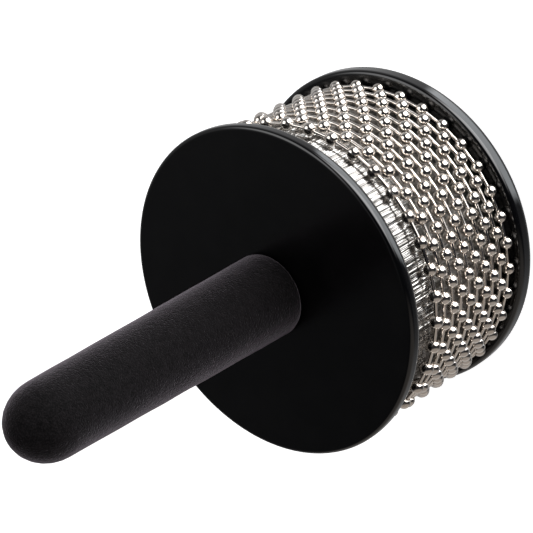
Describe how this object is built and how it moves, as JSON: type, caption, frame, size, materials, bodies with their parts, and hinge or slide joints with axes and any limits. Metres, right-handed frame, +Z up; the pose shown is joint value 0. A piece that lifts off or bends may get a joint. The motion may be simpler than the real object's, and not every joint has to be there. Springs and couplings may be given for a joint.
{
  "type": "cabasa",
  "caption": "Hand percussion shaker: textured steel drum between two black discs, ringed with loose ball chain loops, on a foam grip.",
  "frame": {"origin": "centre of the rear disc's foot, which is the lowest point of the whole object", "axes": "+Z up along the instrument's axis, from the rear disc through the drum to the grip's tip; +X points away from the side that the loose loops hang to, so their centres lie 0.95 mm towards -X; the sleeve's seam is at 135 degrees from +X"},
  "size_m": [0.114, 0.114, 0.1847],
  "materials": {
    "black_lacquer": "gloss black lacquer",
    "bare_wood": "bare turned beech",
    "textured_steel": "finely ridged stainless sheet",
    "nickel_balls": "bright nickel plate",
    "nickel_links": "bright nickel plate",
    "foam_rubber": "matt foam rubber skin",
    "steel_fasteners": "zinc-plated steel",
    "brass_insert": "machined brass"
  },
  "bodies": {
    "drum": {"rear_disc": "black_lacquer", "front_disc": "black_lacquer", "drum_core": "bare_wood", "steel_sleeve": "textured_steel", "sleeve_brads": "steel_fasteners", "handle_dowel": "bare_wood", "foam_grip": "foam_rubber", "through_bolt": "steel_fasteners", "bolt_washer": "steel_fasteners", "threaded_insert": "brass_insert", "rear_disc_screws": "steel_fasteners", "disc_pegs": "bare_wood"},
    "chain_01": {"chain_01_balls": "nickel_balls", "chain_01_links": "nickel_links"},
    "chain_02": {"chain_02_balls": "nickel_balls", "chain_02_links": "nickel_links"},
    "chain_03": {"chain_03_balls": "nickel_balls", "chain_03_links": "nickel_links"},
    "chain_04": {"chain_04_balls": "nickel_balls", "chain_04_links": "nickel_links"},
    "chain_05": {"chain_05_balls": "nickel_balls", "chain_05_links": "nickel_links"},
    "chain_06": {"chain_06_balls": "nickel_balls", "chain_06_links": "nickel_links"},
    "chain_07": {"chain_07_balls": "nickel_balls", "chain_07_links": "nickel_links"},
    "chain_08": {"chain_08_balls": "nickel_balls", "chain_08_links": "nickel_links"},
    "chain_09": {"chain_09_balls": "nickel_balls", "chain_09_links": "nickel_links"},
    "chain_10": {"chain_10_balls": "nickel_balls", "chain_10_links": "nickel_links"}
  },
  "joints": [
    {"name": "chain_01_turn", "type": "hinge", "parent": "drum", "child": "chain_01", "pos_m": [-0.00095, 0, 0.00913], "axis": [0, 0, 1], "continuous": true},
    {"name": "chain_02_turn", "type": "hinge", "parent": "drum", "child": "chain_02", "pos_m": [-0.00095, 0, 0.01371], "axis": [0, 0, 1], "continuous": true},
    {"name": "chain_03_turn", "type": "hinge", "parent": "drum", "child": "chain_03", "pos_m": [-0.00095, 0, 0.01829], "axis": [0, 0, 1], "continuous": true},
    {"name": "chain_04_turn", "type": "hinge", "parent": "drum", "child": "chain_04", "pos_m": [-0.00095, 0, 0.02287], "axis": [0, 0, 1], "continuous": true},
    {"name": "chain_05_turn", "type": "hinge", "parent": "drum", "child": "chain_05", "pos_m": [-0.00095, 0, 0.02745], "axis": [0, 0, 1], "continuous": true},
    {"name": "chain_06_turn", "type": "hinge", "parent": "drum", "child": "chain_06", "pos_m": [-0.00095, 0, 0.03203], "axis": [0, 0, 1], "continuous": true},
    {"name": "chain_07_turn", "type": "hinge", "parent": "drum", "child": "chain_07", "pos_m": [-0.00095, 0, 0.03661], "axis": [0, 0, 1], "continuous": true},
    {"name": "chain_08_turn", "type": "hinge", "parent": "drum", "child": "chain_08", "pos_m": [-0.00095, 0, 0.04119], "axis": [0, 0, 1], "continuous": true},
    {"name": "chain_09_turn", "type": "hinge", "parent": "drum", "child": "chain_09", "pos_m": [-0.00095, 0, 0.04577], "axis": [0, 0, 1], "continuous": true},
    {"name": "chain_10_turn", "type": "hinge", "parent": "drum", "child": "chain_10", "pos_m": [-0.00095, 0, 0.05035], "axis": [0, 0, 1], "continuous": true}
  ]
}
